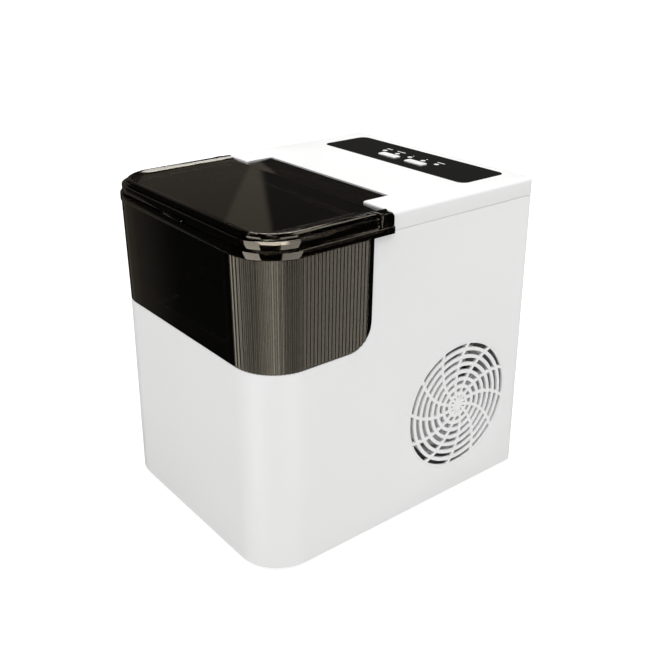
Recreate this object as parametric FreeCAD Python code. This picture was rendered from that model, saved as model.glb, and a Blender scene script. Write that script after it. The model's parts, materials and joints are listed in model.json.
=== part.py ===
"""Countertop bullet-ice maker, modelled as separate sub-parts.

Frame: +X right (fan side), +Y back, +Z up, millimetres.
Origin: on the standing surface, at the centre of the bounding box.
"""
import FreeCAD, Part
import math
import os

# ---------------------------------------------------------------- driving dimensions
HALF_W = 121.0              # half width of the casing
HALF_D = 149.5              # half depth of the casing
R_FRONT = 39.0              # vertical corners at the front
R_REAR = 6.0                # vertical corners at the back
FOOT_H = 4.0                # casing's lower edge above the standing surface
SEAM_Z = 280.3              # joint between casing and top cover
TOP_Z = 296.5               # flat top of the cover
LID_Z = 297.5               # top of the lid
WALL = 2.5                  # plastic wall

WINDOW_Z = 185.0            # lower edge of the front window
WINDOW_BACK = -42.5         # rear edge of the window's side panes
WINDOW_CORNER = 23.0        # rounded lower rear corner of the side panes
WINDOW_FLARE = 1.8          # how far the window leans out at its top
RIM_Z0 = 279.0              # rim that closes the window at the top
RIM_Z1 = 285.5
RIM_FLARE = 3.0             # rim stands out from the casing
RIM_BACK = -22.0            # rear end of the rim
RIM_BAND = 12.0             # width of the rim seen from above

COVER_FRONT = -21.5         # front edge of the top cover
COVER_FRONT_ROUND = 1.5
TOP_ROUND = 4.0             # rounding of the cover's upper edge
HINGE_Y = -5.0
HINGE_Z = 291.5
PIN_R = 1.5
PIN_GAP = 0.05
TONGUE_X = 83.5             # half width of the lid's hinge tongue
TONGUE_BACK = 5.0
TONGUE_ROUND = 1.6
TONGUE_BELOW = 7.1          # tongue faces below and above the hinge axis
TONGUE_ABOVE = 2.7
POCKET_X = 84.5             # recess for the tongue
POCKET_BACK = 6.2
POCKET_FLOOR = 278.0
KNUCKLE_X = 99.5            # outer face of the hinge knuckles

LID_Z0 = 285.8
LID_STEP_Z = 293.0          # top of the lid's lower tier
LID_BACK = -22.4            # rear edge of the lid beside the tongue
LID_UPPER_INSET = 4.0
EAR_X0 = 113.5              # rear corner blocks of the lid
EAR_X1 = 124.0
EAR_FRONT = -36.0
EAR_TOP = 297.3
EAR_ROUND = 5.0
EAR_EDGE = 1.5
LID_OPENING_X = 102.0       # window in the lid frame
LID_OPENING_Y0 = -129.0
LID_OPENING_Y1 = -36.0
LID_OPENING_R = 16.0

PANEL_X = 98.0              # control panel overlay
PANEL_Y0 = 81.0
PANEL_Y1 = 136.5
PANEL_R = 8.0
PANEL_T = 1.0
BUTTON_L = 24.0
BUTTON_W = 9.0
BUTTON_R = 1.6
BUTTON_Y = 100.5
BUTTON_POWER_X = -19.0
BUTTON_SELECT_X = 17.8
BUTTON_TRAVEL = 0.8
BUTTON_TOP = TOP_Z + 0.9
LIGHT_PITCH = 18.05
LIGHT_X0 = -37.3
LIGHT_Y = 111.6
LIGHT_R = 2.5
LIGHT_COUNT = 5

FAN_Y = 66.3                # centre of the side grille and of the fan
FAN_Z = 93.8
GRILLE_R = 62.0
GRILLE_SLOT_R = 60.3        # outer edge of the outermost slot
GRILLE_PITCH = 7.3
GRILLE_SLOT = 4.0
GRILLE_RINGS = 8
GRILLE_SPOKES = 12
SPOKE_ARC_R = 58.0
SPOKE_W = 2.8
SPOKE_START = 112.0         # heading of the first spoke at the centre, degrees

TANK_X = 102.0              # inner tank, outside faces
TANK_Y0 = -136.0
TANK_Y1 = -12.0
TANK_R = 18.0
TANK_Z0 = 44.2
TANK_TOP = 275.5
TANK_RIM_Z = 184.0          # shelf that covers the insulation
BASKET_X = 94.0
BASKET_Y0 = -133.0
BASKET_Y1 = -69.0
BASKET_Z0 = 118.0
BASKET_Z1 = 184.0
BASKET_R = 12.0
BASKET_WALL = 2.0
BASKET_SLOTS = 4            # drain slots in the basket's floor
BASKET_SLOT_PITCH = 12.0
BASKET_SLOT_W = 5.0
BASKET_SLOT_X = 78.0
HANDLE_Y = -101.0
HANDLE_Z = 176.0
HANDLE_REACH = 22.0
ROD_R = 2.0

TRAY_Y = -38.0              # common axis of water tray and ice shovel
TRAY_Z = 222.0
TRAY_R = 21.0
TRAY_T = 2.0
TRAY_X = 77.0
AXLE_R = 4.0
AXLE_GAP = 0.05
SHOVEL_R0 = 26.0
SHOVEL_R1 = 42.0
SHOVEL_ANGLE = 235.0
CHUTE_R = 44.0
FINGERS = 9
FINGER_PITCH = 16.0
FINGER_R = 4.2
FINGER_DROP = 34.0
EVAP_TUBE_R = 3.4
EVAP_Z = 238.0
EVAP_X = 69.5

COMPRESSOR_X = -50.0
COMPRESSOR_Y = 74.0
COMPRESSOR_R = 45.0
CONDENSER_X0 = 56.0
CONDENSER_X1 = 80.0
CONDENSER_HALF = 54.0
SHROUD_X = 84.0
ROTOR_X0 = 92.0
ROTOR_X1 = 106.0
ROTOR_R = 50.0
HUB_R = 18.0
BLADES = 7

DRAIN_X = -84.0
DRAIN_Z = 29.0
INLET_X = -50.0
INLET_Z = 60.0
REAR_X = 108.0              # rear cover
REAR_Z0 = 12.0
REAR_Z1 = 272.0
REAR_T = 2.5
REAR_GAP_X = 96.0           # opening in the casing behind the rear cover
REAR_GAP_Z0 = 16.0
REAR_GAP_Z1 = 270.0
LOUVRES = 11                # air slots in the rear cover, in two columns
LOUVRE_PITCH = 11.0
LOUVRE_W = 4.0
LOUVRE_Z0 = 120.0
LOUVRE_X = 52.0
LOUVRE_HALF = 36.0
SIDE_SLOTS = 12             # exhaust slots in the left side
SIDE_SLOT_PITCH = 8.0
SIDE_SLOT_W = 4.0
SIDE_SLOT_Y0 = 24.0
SIDE_SLOT_Z0 = 60.0
SIDE_SLOT_Z1 = 130.0
PORT_Z = 54.0               # tank's drain port and pump port
DRAIN_PORT_X = -94.0
PUMP_PORT_X = 20.0
FEED_Z = 256.0              # water feed enters the tank above the tray
LID_SKIN = 2.6              # thickness of the lid above its hollow

X_AXIS = FreeCAD.Vector(1, 0, 0)
Y_AXIS = FreeCAD.Vector(0, 1, 0)
Z_AXIS = FreeCAD.Vector(0, 0, 1)


# ---------------------------------------------------------------- basic shapes
def vec(x, y, z):
    return FreeCAD.Vector(x, y, z)


def box(x0, x1, y0, y1, z0, z1):
    return Part.makeBox(x1 - x0, y1 - y0, z1 - z0, vec(x0, y0, z0))


def rod(start, axis, length, radius):
    return Part.makeCylinder(radius, length, vec(*start), axis)


def pipe(start, axis, length, outer, inner):
    return rod(start, axis, length, outer).cut(rod(start, axis, length, inner))


def fuse_all(shapes):
    return shapes[0].fuse(shapes[1:]).removeSplitter() if len(shapes) > 1 else shapes[0]


def outline(half_x, y_front, y_back, r_front, r_back, z):
    """Closed outline with four rounded corners, symmetric about X = 0."""
    corners = [
        (half_x - r_front, y_front + r_front, r_front, -90.0),
        (half_x - r_back, y_back - r_back, r_back, 0.0),
        (-half_x + r_back, y_back - r_back, r_back, 90.0),
        (-half_x + r_front, y_front + r_front, r_front, 180.0),
    ]
    arcs = []
    for cx, cy, radius, start in corners:
        points = []
        for turn in (0.0, 45.0, 90.0):
            angle = math.radians(start + turn)
            points.append(vec(cx + radius * math.cos(angle), cy + radius * math.sin(angle), z))
        arcs.append(points)
    edges = []
    for index, points in enumerate(arcs):
        edges.append(Part.Arc(*points).toShape())
        edges.append(Part.makeLine(points[2], arcs[(index + 1) % 4][0]))
    return Part.Wire(edges)


def slab(half_x, y_front, y_back, r_front, r_back, z0, z1):
    face = Part.Face(outline(half_x, y_front, y_back, r_front, r_back, z0))
    return face.extrude(vec(0, 0, z1 - z0))


def body_slab(inset, z0, z1):
    """Prism on the casing's outline, moved inward by inset."""
    return slab(HALF_W - inset, -HALF_D + inset, HALF_D - inset,
                R_FRONT - inset, max(R_REAR - inset, 1.0), z0, z1)


def pad(length, width, z0, z1, cx, cy):
    """Flat bar with rounded corners, long side along X."""
    bar = slab(length / 2.0, -width / 2.0, width / 2.0, BUTTON_R, BUTTON_R, z0, z1)
    bar.translate(vec(cx, cy, 0.0))
    return bar


def tube(points, radius, bend):
    """Round tube along straight runs joined by tangent arcs of the bend radius."""
    points = [vec(*p) for p in points]
    edges = []
    start = points[0]
    for before, corner, after in zip(points, points[1:], points[2:]):
        to_before = (before - corner).normalize()
        to_after = (after - corner).normalize()
        half_angle = to_before.getAngle(to_after) / 2.0
        setback = bend / math.tan(half_angle)
        arc_start = corner + to_before * setback
        arc_end = corner + to_after * setback
        bisector = (to_before + to_after).normalize()
        arc_mid = corner + bisector * (bend / math.sin(half_angle) - bend)
        edges.append(Part.makeLine(start, arc_start))
        edges.append(Part.Arc(arc_start, arc_mid, arc_end).toShape())
        start = arc_end
    edges.append(Part.makeLine(start, points[-1]))
    path = Part.Wire(edges)
    heading = (points[1] - points[0]).normalize()
    section = Part.Wire(Part.makeCircle(radius, points[0], heading))
    return path.makePipeShell([section], True, True)


def polar(radius, degrees):
    angle = math.radians(degrees)
    return radius * math.cos(angle), radius * math.sin(angle)


def arc_band(r_in, r_out, start, end, centre_y, centre_z, x0, x1):
    """Part of a tube wall about an X axis, between two angles from +Y towards +Z."""
    corner = {}
    for name, radius in (("in", r_in), ("out", r_out)):
        for place, angle in (("a", start), ("m", (start + end) / 2.0), ("b", end)):
            dy, dz = polar(radius, angle)
            corner[name + place] = vec(x0, centre_y + dy, centre_z + dz)
    edges = [
        Part.Arc(corner["outa"], corner["outm"], corner["outb"]).toShape(),
        Part.makeLine(corner["outb"], corner["inb"]),
        Part.Arc(corner["inb"], corner["inm"], corner["ina"]).toShape(),
        Part.makeLine(corner["ina"], corner["outa"]),
    ]
    return Part.Face(Part.Wire(edges)).extrude(vec(x1 - x0, 0, 0))


# ---------------------------------------------------------------- base
FOOT_PLACES = [(x, y) for x in (-92.0, 92.0) for y in (-108.0, 125.0)]
PAN_Z = FOOT_H + 2.0
PAN_T = 2.5
FOOT_STEM_R = 3.0


def base_pan():
    rim_top = PAN_Z + 12.0
    tray = body_slab(WALL + 0.3, PAN_Z, rim_top)
    hollow = body_slab(WALL + 2.3, PAN_Z + PAN_T, rim_top)
    pan = tray.cut(hollow)
    cuts = []
    for x, y in FOOT_PLACES:
        cuts.append(rod((x, y, PAN_Z), Z_AXIS, PAN_T, FOOT_STEM_R + 0.2))
    for index in range(6):
        y = 20.0 + 16.0 * index
        cuts.append(box(10.0, 50.0, y, y + 6.0, PAN_Z, PAN_Z + PAN_T))
    for x, y in BASE_SCREW_PLACES:
        cuts.append(rod((x, y, PAN_Z), Z_AXIS, PAN_T, 2.2))
    return pan.cut(cuts)


BASE_SCREW_PLACES = [(x, y) for x in (-70.0, 70.0) for y in (-60.0, 136.0)]


def base_screws():
    screws = []
    for x, y in BASE_SCREW_PLACES:
        head = rod((x, y, PAN_Z - 1.6), Z_AXIS, 1.6, 3.6)
        shank = rod((x, y, PAN_Z), Z_AXIS, PAN_T, 1.8)
        screws.append(head.fuse(shank))
    return Part.makeCompound(screws)


def rubber_feet():
    feet = []
    for x, y in FOOT_PLACES:
        sole = Part.makeCone(9.5, 11.0, 2.0, vec(x, y, 0))
        body = rod((x, y, 2.0), Z_AXIS, PAN_Z - 2.0, 11.0)
        stem = rod((x, y, PAN_Z), Z_AXIS, PAN_T + 1.5, FOOT_STEM_R)
        feet.append(fuse_all([sole, body, stem]))
    return Part.makeCompound(feet)


# ---------------------------------------------------------------- casing
def side_region(y_back, z_low, corner):
    """Everything in front of y_back and above z_low, with one rounded corner, seen from the side."""
    reach = HALF_D + 20.0
    top = TOP_Z + 20.0
    corner_y = y_back - corner
    corner_z = z_low + corner
    turn_y, turn_z = polar(corner, -45.0)
    x = -HALF_W - 20.0
    edges = [
        Part.makeLine(vec(x, -reach, z_low), vec(x, corner_y, z_low)),
        Part.Arc(vec(x, corner_y, z_low), vec(x, corner_y + turn_y, corner_z + turn_z),
                 vec(x, y_back, corner_z)).toShape(),
        Part.makeLine(vec(x, y_back, corner_z), vec(x, y_back, top)),
        Part.makeLine(vec(x, y_back, top), vec(x, -reach, top)),
        Part.makeLine(vec(x, -reach, top), vec(x, -reach, z_low)),
    ]
    return Part.Face(Part.Wire(edges)).extrude(vec(-2.0 * x, 0, 0))


def outer_casing():
    shell = body_slab(0.0, FOOT_H, SEAM_Z).cut(body_slab(WALL, FOOT_H, SEAM_Z))
    window_gap = side_region(WINDOW_BACK + 0.3, WINDOW_Z - 0.3, WINDOW_CORNER)
    cuts = [
        window_gap,
        box(-HALF_W, HALF_W, -HALF_D, COVER_FRONT, RIM_Z0 - 0.2, SEAM_Z),
        box(-REAR_GAP_X, REAR_GAP_X, HALF_D - WALL, HALF_D, REAR_GAP_Z0, REAR_GAP_Z1),
        rod((HALF_W - WALL, FAN_Y, FAN_Z), X_AXIS, WALL, GRILLE_R + 0.1),
    ]
    for index in range(SIDE_SLOTS):
        y = SIDE_SLOT_Y0 + SIDE_SLOT_PITCH * index
        cuts.append(box(-HALF_W, -HALF_W + WALL, y, y + SIDE_SLOT_W, SIDE_SLOT_Z0, SIDE_SLOT_Z1))
    for x, z in REAR_SCREW_PLACES:
        cuts.append(rod((x, HALF_D - WALL, z), Y_AXIS, WALL, 2.0))
    return shell.cut(cuts)


def grille_spoke(start):
    """One curved spoke: a circular arc that leaves the centre at the start heading."""
    centre_y, centre_z = polar(SPOKE_ARC_R, start - 90.0)
    reach = 2.0 * math.degrees(math.asin(GRILLE_R / (2.0 * SPOKE_ARC_R)))
    first = start + 90.0
    band = arc_band(SPOKE_ARC_R - SPOKE_W / 2.0, SPOKE_ARC_R + SPOKE_W / 2.0, first - reach, first,
                    FAN_Y + centre_y, FAN_Z + centre_z, HALF_W - WALL, HALF_W)
    return band


def fan_grille():
    disc = rod((HALF_W - WALL, FAN_Y, FAN_Z), X_AXIS, WALL, GRILLE_R)
    slots = []
    for ring in range(GRILLE_RINGS):
        outer = GRILLE_SLOT_R - ring * GRILLE_PITCH
        slots.append(pipe((HALF_W - WALL, FAN_Y, FAN_Z), X_AXIS, WALL, outer, outer - GRILLE_SLOT))
    rings = disc.cut(slots)
    spokes = [grille_spoke(SPOKE_START + 360.0 / GRILLE_SPOKES * k) for k in range(GRILLE_SPOKES)]
    return rings.fuse([s.common(disc) for s in spokes]).removeSplitter()


REAR_SCREW_PLACES = [(x, z) for x in (-102.0, 102.0) for z in (24.0, 140.0, 260.0)]


def rear_cover():
    z_mid = (REAR_Z0 + REAR_Z1) / 2.0
    half_z = (REAR_Z1 - REAR_Z0) / 2.0
    plate = slab(REAR_X, -half_z, half_z, 8.0, 8.0, 0.0, REAR_T)
    plate.rotate(vec(0, 0, 0), X_AXIS, 90.0)
    plate.translate(vec(0, HALF_D + REAR_T, z_mid))
    cuts = []
    for column in (-LOUVRE_X, LOUVRE_X):
        for index in range(LOUVRES):
            z = LOUVRE_Z0 + LOUVRE_PITCH * index
            cuts.append(box(column - LOUVRE_HALF, column + LOUVRE_HALF, HALF_D, HALF_D + REAR_T,
                            z, z + LOUVRE_W))
    for x, z in REAR_SCREW_PLACES:
        cuts.append(rod((x, HALF_D, z), Y_AXIS, REAR_T, 2.0))
        cuts.append(rod((x, HALF_D + 1.0, z), Y_AXIS, REAR_T, 3.7))
    cuts.append(rod((DRAIN_X, HALF_D, DRAIN_Z), Y_AXIS, REAR_T, 10.0))
    cuts.append(box(INLET_X - 14.2, INLET_X + 14.2, HALF_D, HALF_D + REAR_T,
                    INLET_Z - 11.2, INLET_Z + 11.2))
    return plate.cut(cuts)


def rear_cover_screws():
    screws = []
    for x, z in REAR_SCREW_PLACES:
        head = rod((x, HALF_D + 1.0, z), Y_AXIS, 1.3, 3.5)
        shank = rod((x, HALF_D - 7.0, z), Y_AXIS, 8.0, 1.7)
        screws.append(head.fuse(shank))
    return Part.makeCompound(screws)


# ---------------------------------------------------------------- top cover
def hinge_bores(radius, x0, x1):
    return [rod((x0, HINGE_Y, HINGE_Z), X_AXIS, x1 - x0, radius),
            rod((-x1, HINGE_Y, HINGE_Z), X_AXIS, x1 - x0, radius)]


def rounded_prism(inset, z0, z1, radius):
    """Casing outline prism whose upper edge is rounded."""
    prism = body_slab(inset, z0, z1)
    edges = [e for e in prism.Edges if e.BoundBox.ZMin > z1 - 0.01]
    return prism.makeFillet(radius, edges)


def front_edge_waste():
    """What the rounding takes off the upper front edge of the cover."""
    radius = COVER_FRONT_ROUND
    block = box(-HALF_W, HALF_W, COVER_FRONT, COVER_FRONT + radius, TOP_Z - radius, TOP_Z)
    return block.cut(rod((-HALF_W, COVER_FRONT + radius, TOP_Z - radius), X_AXIS, 2.0 * HALF_W, radius))


def top_cover():
    outer = rounded_prism(0.0, SEAM_Z + 0.3, TOP_Z, TOP_ROUND)
    shell = outer.cut(body_slab(WALL, SEAM_Z + 0.3, TOP_Z - WALL))
    front = box(-HALF_W, HALF_W, -HALF_D, COVER_FRONT, SEAM_Z, TOP_Z)
    shell = shell.cut(front)
    front_wall = box(-HALF_W + 1.0, HALF_W - 1.0, COVER_FRONT, COVER_FRONT + WALL,
                     SEAM_Z + 0.3, TOP_Z - 1.0)
    pocket = box(-POCKET_X - 2.0, POCKET_X + 2.0, COVER_FRONT, POCKET_BACK + 2.0,
                 POCKET_FLOOR - 2.0, TOP_Z - 1.0)
    knuckles = []
    for side in (-1.0, 1.0):
        x0 = min(side * POCKET_X, side * KNUCKLE_X)
        knuckles.append(box(x0, x0 + KNUCKLE_X - POCKET_X, COVER_FRONT, POCKET_BACK,
                            SEAM_Z + 0.3, TOP_Z - 1.0))
    bosses = []
    for x, y in BOARD_SCREW_PLACES:
        bosses.append(rod((x, y, BOARD_Z1), Z_AXIS, TOP_Z - WALL - BOARD_Z1, 4.0))
    cover = shell.fuse([front_wall, pocket] + knuckles + bosses)
    cuts = [
        box(-POCKET_X, POCKET_X, COVER_FRONT - 1.0, POCKET_BACK, POCKET_FLOOR, TOP_Z),
        front_edge_waste(),
        slab(PANEL_X + 0.1, PANEL_Y0 - 0.1, PANEL_Y1 + 0.1, PANEL_R, PANEL_R, TOP_Z - PANEL_T, TOP_Z),
    ]
    cuts += hinge_bores(PIN_R, POCKET_X - 0.5, KNUCKLE_X - 3.0)
    cuts += panel_holes(TOP_Z - WALL - 1.0, TOP_Z)
    return cover.cut(cuts).removeSplitter()


def panel_holes(z0, z1):
    holes = []
    for x in (BUTTON_POWER_X, BUTTON_SELECT_X):
        holes.append(pad(BUTTON_L + 0.8, BUTTON_W + 0.8, z0, z1, x, BUTTON_Y))
    for index in range(LIGHT_COUNT):
        x = LIGHT_X0 + LIGHT_PITCH * index
        holes.append(rod((x, LIGHT_Y, z0), Z_AXIS, z1 - z0, LIGHT_R + 0.1))
    return holes


def hinge_pins():
    return Part.makeCompound(hinge_bores(PIN_R, POCKET_X - 7.0, KNUCKLE_X - 3.0))


# ---------------------------------------------------------------- control panel
BOARD_Z0 = 282.4
BOARD_Z1 = 284.0
BOARD_SCREW_PLACES = [(x, y) for x in (-90.0, 90.0) for y in (88.0, 128.0)]
SWITCH_TOP = 287.4


def control_panel():
    plate = slab(PANEL_X, PANEL_Y0, PANEL_Y1, PANEL_R, PANEL_R, TOP_Z - PANEL_T, TOP_Z)
    return plate.cut(panel_holes(TOP_Z - PANEL_T, TOP_Z))


def push_button(x):
    cap = pad(BUTTON_L, BUTTON_W, TOP_Z - WALL - 0.5, BUTTON_TOP, x, BUTTON_Y)
    edges = [e for e in cap.Edges if e.BoundBox.ZMin > BUTTON_TOP - 0.01]
    cap = cap.makeFillet(0.5, edges)
    collar_z = TOP_Z - WALL - 0.3
    collar = pad(BUTTON_L + 4.0, BUTTON_W + 3.0, collar_z - 1.2, collar_z, x, BUTTON_Y)
    stem = rod((x, BUTTON_Y, SWITCH_TOP + BUTTON_TRAVEL + 0.1), Z_AXIS,
               collar_z - 1.0 - SWITCH_TOP - BUTTON_TRAVEL - 0.1, 2.5)
    return fuse_all([cap, collar, stem])


def indicator_lights():
    lights = []
    for index in range(LIGHT_COUNT):
        x = LIGHT_X0 + LIGHT_PITCH * index
        post = rod((x, LIGHT_Y, BOARD_Z1), Z_AXIS, TOP_Z - BOARD_Z1, LIGHT_R)
        base = rod((x, LIGHT_Y, BOARD_Z1), Z_AXIS, 3.0, 3.2)
        lights.append(post.fuse(base).removeSplitter())
    return Part.makeCompound(lights)


def control_board():
    board = box(-95.0, 95.0, 84.0, 132.0, BOARD_Z0, BOARD_Z1)
    holes = [rod((x, y, BOARD_Z0), Z_AXIS, 2.0, 1.8) for x, y in BOARD_SCREW_PLACES]
    board = board.cut(holes)
    parts = [board]
    for x in (BUTTON_POWER_X, BUTTON_SELECT_X):
        parts.append(box(x - 3.0, x + 3.0, BUTTON_Y - 3.0, BUTTON_Y + 3.0, BOARD_Z1, SWITCH_TOP - 0.8))
        parts.append(rod((x, BUTTON_Y, SWITCH_TOP - 0.8), Z_AXIS, 0.8, 1.5))
    parts.append(box(55.0, 80.0, 95.0, 120.0, BOARD_Z0 - 6.0, BOARD_Z0))
    parts.append(box(-80.0, -62.0, 100.0, 115.0, BOARD_Z0 - 9.0, BOARD_Z0))
    return fuse_all(parts)


def board_screws():
    screws = []
    for x, y in BOARD_SCREW_PLACES:
        head = rod((x, y, BOARD_Z0 - 1.8), Z_AXIS, 1.8, 3.0)
        shank = rod((x, y, BOARD_Z0), Z_AXIS, BOARD_Z1 - BOARD_Z0, 1.5)
        screws.append(head.fuse(shank))
    return Part.makeCompound(screws)


# ---------------------------------------------------------------- front window and lid
def leaning_prism(inset):
    """Casing outline that widens from the window's lower edge to its top."""
    wires = []
    for z, flare in ((WINDOW_Z - 5.0, 0.0), (WINDOW_Z, 0.0), (RIM_Z0, WINDOW_FLARE)):
        grow = flare - inset
        wires.append(outline(HALF_W + grow, -HALF_D - grow, HALF_D, R_FRONT + grow, 3.0, z))
    lower = Part.makeLoft(wires[:2], True, True)
    upper = Part.makeLoft(wires[1:], True, True)
    return lower.fuse(upper)


def front_window():
    wall = leaning_prism(0.0).cut(leaning_prism(WALL))
    wall = wall.common(side_region(WINDOW_BACK, WINDOW_Z, WINDOW_CORNER))
    rim = slab(HALF_W + RIM_FLARE, -HALF_D - WALL, HALF_D, R_FRONT + RIM_FLARE, 3.0, RIM_Z0, RIM_Z1)
    inner = slab(HALF_W + RIM_FLARE - RIM_BAND, -HALF_D - WALL + RIM_BAND, HALF_D,
                 R_FRONT + RIM_FLARE - RIM_BAND, 3.0, RIM_Z0, RIM_Z1)
    rim = rim.cut([inner, box(-HALF_W - 5.0, HALF_W + 5.0, RIM_BACK, HALF_D, RIM_Z0, RIM_Z1)])
    return wall.fuse(rim).removeSplitter()


def lid_ear(side):
    """Block at one rear corner of the lid, flush with the window's rim."""
    x0 = min(side * EAR_X0, side * EAR_X1)
    block = box(x0, x0 + EAR_X1 - EAR_X0, EAR_FRONT, LID_BACK, LID_Z0, EAR_TOP)
    upper = [e for e in block.Edges if e.BoundBox.ZMin > EAR_TOP - 0.01]
    block = block.makeFillet(EAR_ROUND, [e for e in upper if e.BoundBox.YMin > LID_BACK - 0.01])
    upper = [e for e in block.Edges if e.BoundBox.ZMin > EAR_TOP - 0.01]
    return block.makeFillet(EAR_EDGE, [e for e in upper if e.BoundBox.YMax < EAR_FRONT + 0.01])


def lid_frame():
    half = HALF_W + 0.5
    front = -HALF_D - 0.5
    low = slab(half, front, LID_BACK, R_FRONT, 3.0, LID_Z0, LID_STEP_Z)
    up_half = half - LID_UPPER_INSET
    up_front = front + LID_UPPER_INSET
    up = slab(up_half, up_front, LID_BACK, R_FRONT - LID_UPPER_INSET, 4.0,
              LID_STEP_Z - 1.0, LID_Z)
    up = up.makeFillet(3.4, [e for e in up.Edges if e.BoundBox.ZMin > LID_Z - 0.01])
    tongue = box(-TONGUE_X, TONGUE_X, LID_BACK - 6.0, TONGUE_BACK,
                 HINGE_Z - TONGUE_BELOW, HINGE_Z + TONGUE_ABOVE)
    rear_edges = [e for e in tongue.Edges if e.BoundBox.YMin > TONGUE_BACK - 0.01
                  and e.BoundBox.XLength > TONGUE_X]
    tongue = tongue.makeFillet(TONGUE_ROUND, rear_edges)
    tab = box(-15.0, 15.0, -HALF_D - WALL, front + 6.0, LID_Z0, LID_Z0 + 3.0)
    solid = low.fuse([up, tab, lid_ear(-1.0), lid_ear(1.0), tongue])
    hollow = slab(up_half - 5.0, up_front + 5.0, LID_BACK - 6.5, R_FRONT - 9.0, 6.0,
                  LID_Z0 - 2.0, LID_Z - LID_SKIN)
    opening = slab(LID_OPENING_X, LID_OPENING_Y0, LID_OPENING_Y1, LID_OPENING_R, LID_OPENING_R,
                   LID_Z0, LID_Z)
    cuts = [hollow, opening] + hinge_bores(PIN_R + PIN_GAP, POCKET_X - 7.5, TONGUE_X)
    return solid.cut(cuts).removeSplitter()


def lid_panel():
    sheet_top = LID_Z - LID_SKIN
    sheet = slab(LID_OPENING_X + 5.0, LID_OPENING_Y0 - 5.0, LID_OPENING_Y1 + 5.0,
                 LID_OPENING_R + 5.0, LID_OPENING_R + 5.0, sheet_top - 2.2, sheet_top)
    raised = slab(LID_OPENING_X - 0.3, LID_OPENING_Y0 + 0.3, LID_OPENING_Y1 - 0.3,
                  LID_OPENING_R, LID_OPENING_R, sheet_top, LID_Z - 0.6)
    return sheet.fuse(raised).removeSplitter()


# ---------------------------------------------------------------- inner tank and insulation
def inner_tank():
    tub = slab(TANK_X, TANK_Y0, TANK_Y1, TANK_R, 6.0, TANK_Z0, TANK_TOP)
    hollow = slab(TANK_X - WALL, TANK_Y0 + WALL, TANK_Y1 - WALL, TANK_R - WALL, 3.5,
                  TANK_Z0 + WALL, TANK_TOP)
    tub = tub.cut([hollow, side_region(-64.0, TANK_RIM_Z, 12.0)])
    shelf = slab(HALF_W - 3.2, -HALF_D + 3.2, -64.5, R_FRONT - 3.2, 1.0, TANK_RIM_Z, TANK_RIM_Z + 2.0)
    opening = slab(TANK_X - WALL, TANK_Y0 + WALL, 0.0, TANK_R - WALL, 1.0,
                   TANK_RIM_Z, TANK_RIM_Z + 2.0)
    ledges = []
    for side in (-1.0, 1.0):
        x0 = min(side * (BASKET_X - 4.0), side * (TANK_X - 1.0))
        ledges.append(box(x0, x0 + TANK_X - BASKET_X + 3.0, -116.0, -72.0, BASKET_Z0 - 4.0, BASKET_Z0))
    tub = tub.fuse([shelf.cut(opening)] + ledges)
    cuts = [
        rod((DRAIN_PORT_X, TANK_Y1 - WALL - 1.0, PORT_Z), Y_AXIS, WALL + 2.0, 3.2),
        rod((PUMP_PORT_X, TANK_Y1 - WALL - 1.0, PORT_Z), Y_AXIS, WALL + 2.0, 3.2),
        rod((PUMP_PORT_X, TANK_Y1 - WALL - 1.0, FEED_Z), Y_AXIS, WALL + 2.0, 4.2),
        rod((-EVAP_X, TANK_Y1 - WALL - 1.0, EVAP_Z), Y_AXIS, WALL + 2.0, 4.3),
        rod((EVAP_X, TANK_Y1 - WALL - 1.0, EVAP_Z), Y_AXIS, WALL + 2.0, 4.3),
    ]
    return tub.cut(cuts).removeSplitter()


def insulation():
    block = slab(HALF_W - WALL - 0.5, -HALF_D + WALL + 0.5, TANK_Y1 + 6.0,
                 R_FRONT - WALL - 0.5, 2.0, PAN_Z + 16.0, TANK_RIM_Z - 0.2)
    hollow = slab(TANK_X + 0.3, TANK_Y0 - 0.3, TANK_Y1 + 0.3, TANK_R + 0.3, 6.3,
                  TANK_Z0 - 0.2, TANK_RIM_Z)
    holes = [rod((x, TANK_Y1 - 1.0, PORT_Z), Y_AXIS, 10.0, 6.5) for x in (DRAIN_PORT_X, PUMP_PORT_X)]
    return block.cut([hollow] + holes)


# ---------------------------------------------------------------- ice basket
def ice_basket():
    tub = slab(BASKET_X, BASKET_Y0, BASKET_Y1, BASKET_R, BASKET_R, BASKET_Z0, BASKET_Z1)
    hollow = slab(BASKET_X - BASKET_WALL, BASKET_Y0 + BASKET_WALL, BASKET_Y1 - BASKET_WALL,
                  BASKET_R - BASKET_WALL, BASKET_R - BASKET_WALL, BASKET_Z0 + BASKET_WALL, BASKET_Z1)
    cuts = [hollow, rod((-BASKET_X, HANDLE_Y, HANDLE_Z), X_AXIS, 2.0 * BASKET_X, ROD_R + 0.08)]
    for index in range(BASKET_SLOTS):
        y = BASKET_Y0 + 11.5 + BASKET_SLOT_PITCH * index
        cuts.append(box(-BASKET_SLOT_X, BASKET_SLOT_X, y, y + BASKET_SLOT_W,
                        BASKET_Z0, BASKET_Z0 + BASKET_WALL))
    return tub.cut(cuts)


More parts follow.
